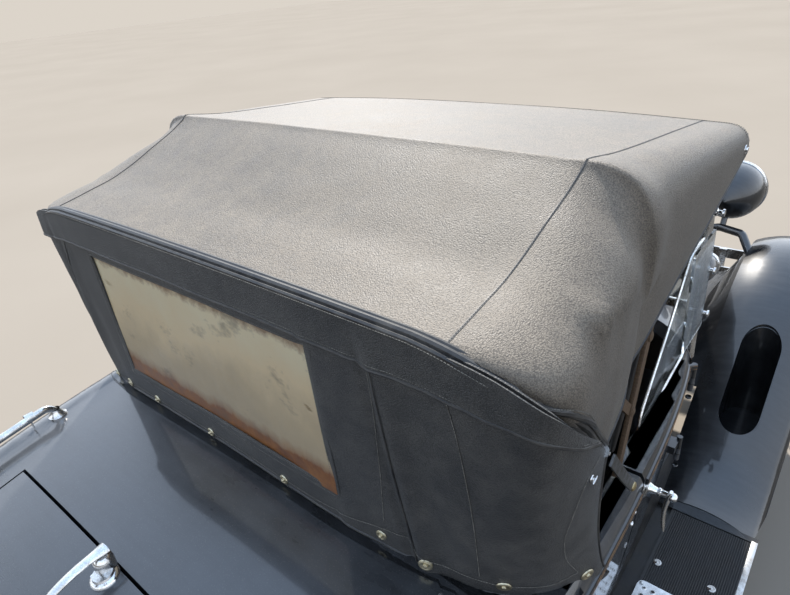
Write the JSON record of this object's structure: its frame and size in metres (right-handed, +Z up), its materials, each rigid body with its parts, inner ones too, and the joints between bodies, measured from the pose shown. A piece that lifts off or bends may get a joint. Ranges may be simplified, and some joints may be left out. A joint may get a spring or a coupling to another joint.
{
  "type": "1920s roadster motor car",
  "caption": "Open two-seat roadster with a folding cloth top, rumble lid, wire wheels, running boards, hinged doors and hood, and working steering.",
  "frame": {"origin": "on the ground, below the middle of the car's length and width", "axes": "+Z up, -Y is the direction the car faces, +X is the car's left side"},
  "size_m": [1.7222, 3.89, 1.725],
  "materials": {
    "body_paint": "gloss black enamel with age",
    "chassis_paint": "satin black chassis paint",
    "cast_iron": "plain castings",
    "tyre": "black rubber",
    "wheel_paint": "gloss black wire wheels",
    "bright": "plated, slightly worn",
    "core": "blackened radiator core",
    "top_fabric": "grained coated cloth, weathered",
    "curtain_fabric": "dark grained coated cloth",
    "celluloid": "yellowed celluloid",
    "seat_leather": "dark seat leather",
    "glass": "clear plate glass",
    "mat": "black board with a ribbed mat",
    "bow_wood": "brown painted bows",
    "steer": "black hard rubber"
  },
  "bodies": {
    "root": {"frame": "chassis_paint", "engine_block": "cast_iron", "front_axle": "chassis_paint", "rear_axle": "chassis_paint", "exhaust": "cast_iron", "bumpers": "bright", "running_boards": "mat", "front_wings": "body_paint", "rear_wings": "body_paint", "steering_column": "steer", "radiator_shell": "bright", "radiator_core": "core", "headlamps": "body_paint", "body_tub": "body_paint", "rumble_cushion": "seat_leather", "dash": "body_paint", "seat_cushion": "seat_leather", "seat_back": "seat_leather", "grab_rails": "bright", "small_lamps": "bright", "screen_frame": "body_paint", "glass": "glass", "top": "top_fabric", "rear_curtain": "curtain_fabric", "rear_window": "celluloid", "top_bows": "bow_wood"},
    "wheel_fl": {"tyre_front_left": "tyre", "wheel_front_left": "wheel_paint"},
    "wheel_fr": {"tyre_front_right": "tyre", "wheel_front_right": "wheel_paint"},
    "wheel_rl": {"tyre_rear_left": "tyre", "wheel_rear_left": "wheel_paint"},
    "wheel_rr": {"tyre_rear_right": "tyre", "wheel_rear_right": "wheel_paint"},
    "knuckle_l": {"knuckle_left": "chassis_paint"},
    "knuckle_r": {"knuckle_right": "chassis_paint"},
    "tie_rod": {"tie_rod": "chassis_paint"},
    "steering_wheel": {"steering_wheel": "steer"},
    "door_l": {"door_left": "body_paint", "door_handle_left": "bright"},
    "door_r": {"door_right": "body_paint", "door_handle_right": "bright"},
    "rumble_lid": {"rumble_lid": "body_paint", "rumble_handle": "bright", "rumble_back": "seat_leather"},
    "hood_l": {"hood_left": "body_paint"},
    "hood_r": {"hood_right": "body_paint"}
  },
  "joints": [
    {"name": "spin_fl", "type": "hinge", "parent": "knuckle_l", "child": "wheel_fl", "pos_m": [0.711, -1.345, 0.387], "axis": [1, 0, 0], "continuous": true},
    {"name": "spin_fr", "type": "hinge", "parent": "knuckle_r", "child": "wheel_fr", "pos_m": [-0.711, -1.345, 0.387], "axis": [1, 0, 0], "continuous": true},
    {"name": "spin_rl", "type": "hinge", "parent": "root", "child": "wheel_rl", "pos_m": [0.711, 1.284, 0.387], "axis": [1, 0, 0], "continuous": true},
    {"name": "spin_rr", "type": "hinge", "parent": "root", "child": "wheel_rr", "pos_m": [-0.711, 1.284, 0.387], "axis": [1, 0, 0], "continuous": true},
    {"name": "steer_left", "type": "hinge", "parent": "root", "child": "knuckle_l", "pos_m": [0.622, -1.345, 0.387], "axis": [0, 0, 1], "range_deg": [-30, 30]},
    {"name": "steer_right", "type": "hinge", "parent": "root", "child": "knuckle_r", "pos_m": [-0.622, -1.345, 0.387], "axis": [0, 0, 1], "range_deg": [-32, 32]},
    {"name": "tie_pivot", "type": "hinge", "parent": "knuckle_l", "child": "tie_rod", "pos_m": [0.622, -1.195, 0.325], "axis": [0, 0, 1], "range_deg": [-32, 32]},
    {"name": "steering", "type": "hinge", "parent": "root", "child": "steering_wheel", "pos_m": [0.33, 0.125, 1.01], "axis": [0, 0.8754, 0.4834], "range_deg": [-335, 335]},
    {"name": "door_left_hinge", "type": "hinge", "parent": "root", "child": "door_l", "pos_m": [0.624, -0.098, 0.9], "axis": [0, 0, -1], "range_deg": [0, 65]},
    {"name": "door_right_hinge", "type": "hinge", "parent": "root", "child": "door_r", "pos_m": [-0.624, -0.098, 0.9], "axis": [0, 0, 1], "range_deg": [0, 65]},
    {"name": "lid_hinge", "type": "hinge", "parent": "root", "child": "rumble_lid", "pos_m": [0, 1.68, 0.941], "axis": [-1, 0, 0], "range_deg": [0, 78]},
    {"name": "hood_left_hinge", "type": "hinge", "parent": "root", "child": "hood_l", "pos_m": [0, -0.845, 1.165], "axis": [0, -1, 0], "range_deg": [0, 48]},
    {"name": "hood_right_hinge", "type": "hinge", "parent": "root", "child": "hood_r", "pos_m": [0, -0.845, 1.165], "axis": [0, 1, 0], "range_deg": [0, 48]}
  ],
  "couplings": [
    {"joint": "steer_right", "follows": "steer_left", "ratio": 1},
    {"joint": "tie_pivot", "follows": "steer_left", "ratio": -1},
    {"joint": "steering", "follows": "steer_left", "ratio": 11}
  ]
}
